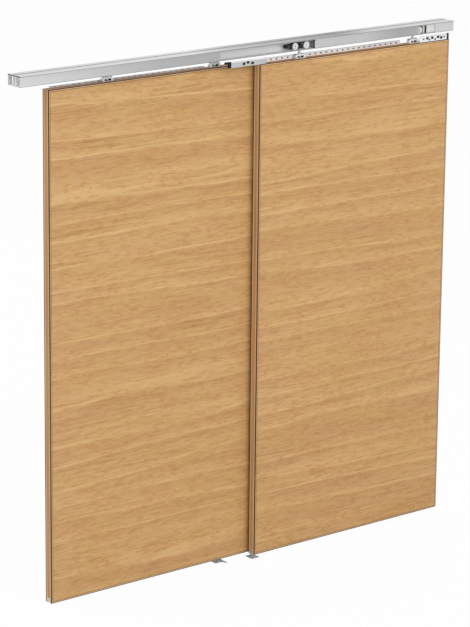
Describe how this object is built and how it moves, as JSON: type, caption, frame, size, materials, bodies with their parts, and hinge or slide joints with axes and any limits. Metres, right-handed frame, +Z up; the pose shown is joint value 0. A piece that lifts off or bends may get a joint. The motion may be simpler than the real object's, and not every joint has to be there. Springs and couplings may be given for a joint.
{
  "type": "top-hung twin-lane sliding door set",
  "caption": "Twin-lane aluminium ceiling track with cutaway front wall, four-wheel trolleys and overlapping wood veneered sliding door leaves with floor guides.",
  "frame": {"origin": "middle of the track's top face, which is screwed to the ceiling", "axes": "+X along the track to the right, +Y towards the rear leaf, +Z up out of the ceiling face"},
  "size_m": [2.264, 0.091, 2.192],
  "materials": {
    "anodised_aluminium": "satin anodised",
    "bright_aluminium": "bright drawn",
    "zinc_steel": "zinc plated",
    "black_plastic": "moulded",
    "grey_plastic": "moulded",
    "white_nylon": "turned nylon",
    "oak_veneer": "matt lacquered veneer",
    "edge_wood": "matt lacquered lipping"
  },
  "bodies": {
    "fixed_track": {"front_floor_guide": "grey_plastic", "front_left_stop": "black_plastic", "front_right_stop": "black_plastic", "rear_floor_guide": "grey_plastic", "rear_left_stop": "black_plastic", "rear_right_stop": "black_plastic", "track_front_profile": "anodised_aluminium", "track_rear_profile": "anodised_aluminium"},
    "rear_leaf": {"rear_guide_channel": "bright_aluminium", "rear_leaf_back_skin": "oak_veneer", "rear_leaf_core": "edge_wood", "rear_leaf_front_skin": "oak_veneer", "rear_leaf_left_lipping": "edge_wood", "rear_leaf_right_lipping": "edge_wood", "rear_left_bracket": "zinc_steel", "rear_left_hanger_bolt": "zinc_steel", "rear_left_trolley_body": "black_plastic", "rear_perforated_bar": "bright_aluminium", "rear_right_bracket": "zinc_steel", "rear_right_hanger_bolt": "zinc_steel", "rear_right_trolley_body": "black_plastic"},
    "front_leaf": {"front_guide_channel": "bright_aluminium", "front_leaf_back_skin": "oak_veneer", "front_leaf_core": "edge_wood", "front_leaf_front_skin": "oak_veneer", "front_leaf_left_lipping": "edge_wood", "front_leaf_right_lipping": "edge_wood", "front_left_arm": "bright_aluminium", "front_left_bracket": "zinc_steel", "front_left_buffer": "black_plastic", "front_left_hanger_bolt": "zinc_steel", "front_left_trolley_body": "black_plastic", "front_perforated_bar": "bright_aluminium", "front_right_arm": "bright_aluminium", "front_right_bracket": "zinc_steel", "front_right_buffer": "black_plastic", "front_right_hanger_bolt": "zinc_steel", "front_right_trolley_body": "black_plastic"},
    "front_left_left_wheels": {"front_left_left_wheels": "white_nylon"},
    "front_left_right_wheels": {"front_left_right_wheels": "white_nylon"},
    "front_right_left_wheels": {"front_right_left_wheels": "white_nylon"},
    "front_right_right_wheels": {"front_right_right_wheels": "white_nylon"},
    "rear_left_left_wheels": {"rear_left_left_wheels": "white_nylon"},
    "rear_left_right_wheels": {"rear_left_right_wheels": "white_nylon"},
    "rear_right_left_wheels": {"rear_right_left_wheels": "white_nylon"},
    "rear_right_right_wheels": {"rear_right_right_wheels": "white_nylon"}
  },
  "joints": [
    {"name": "rear_leaf_slide", "type": "slide", "parent": "fixed_track", "child": "rear_leaf", "axis": [1, 0, 0], "range_m": [0, 0.8]},
    {"name": "front_leaf_slide", "type": "slide", "parent": "fixed_track", "child": "front_leaf", "axis": [1, 0, 0], "range_m": [-0.95, 0]},
    {"name": "rear_left_left_wheel_roll", "type": "hinge", "parent": "rear_leaf", "child": "rear_left_left_wheels", "pos_m": [-0.702, 0.0245, -0.0237], "axis": [0, 1, 0], "range_deg": [0, 3060]},
    {"name": "rear_left_right_wheel_roll", "type": "hinge", "parent": "rear_leaf", "child": "rear_left_right_wheels", "pos_m": [-0.642, 0.0245, -0.0237], "axis": [0, 1, 0], "range_deg": [0, 3060]},
    {"name": "rear_right_left_wheel_roll", "type": "hinge", "parent": "rear_leaf", "child": "rear_right_left_wheels", "pos_m": [-0.161, 0.0245, -0.0237], "axis": [0, 1, 0], "range_deg": [0, 3060]},
    {"name": "rear_right_right_wheel_roll", "type": "hinge", "parent": "rear_leaf", "child": "rear_right_right_wheels", "pos_m": [-0.101, 0.0245, -0.0237], "axis": [0, 1, 0], "range_deg": [0, 3060]},
    {"name": "front_left_left_wheel_roll", "type": "hinge", "parent": "front_leaf", "child": "front_left_left_wheels", "pos_m": [0.249, -0.0245, -0.0237], "axis": [0, 1, 0], "range_deg": [-3633, 0]},
    {"name": "front_left_right_wheel_roll", "type": "hinge", "parent": "front_leaf", "child": "front_left_right_wheels", "pos_m": [0.309, -0.0245, -0.0237], "axis": [0, 1, 0], "range_deg": [-3633, 0]},
    {"name": "front_right_left_wheel_roll", "type": "hinge", "parent": "front_leaf", "child": "front_right_left_wheels", "pos_m": [0.88, -0.0245, -0.0237], "axis": [0, 1, 0], "range_deg": [-3633, 0]},
    {"name": "front_right_right_wheel_roll", "type": "hinge", "parent": "front_leaf", "child": "front_right_right_wheels", "pos_m": [0.94, -0.0245, -0.0237], "axis": [0, 1, 0], "range_deg": [-3633, 0]}
  ],
  "couplings": [
    {"joint": "rear_left_left_wheel_roll", "follows": "rear_leaf_slide", "rad_per_m": 66.667},
    {"joint": "rear_left_right_wheel_roll", "follows": "rear_leaf_slide", "rad_per_m": 66.667},
    {"joint": "rear_right_left_wheel_roll", "follows": "rear_leaf_slide", "rad_per_m": 66.667},
    {"joint": "rear_right_right_wheel_roll", "follows": "rear_leaf_slide", "rad_per_m": 66.667},
    {"joint": "front_left_left_wheel_roll", "follows": "front_leaf_slide", "rad_per_m": 66.667},
    {"joint": "front_left_right_wheel_roll", "follows": "front_leaf_slide", "rad_per_m": 66.667},
    {"joint": "front_right_left_wheel_roll", "follows": "front_leaf_slide", "rad_per_m": 66.667},
    {"joint": "front_right_right_wheel_roll", "follows": "front_leaf_slide", "rad_per_m": 66.667}
  ]
}
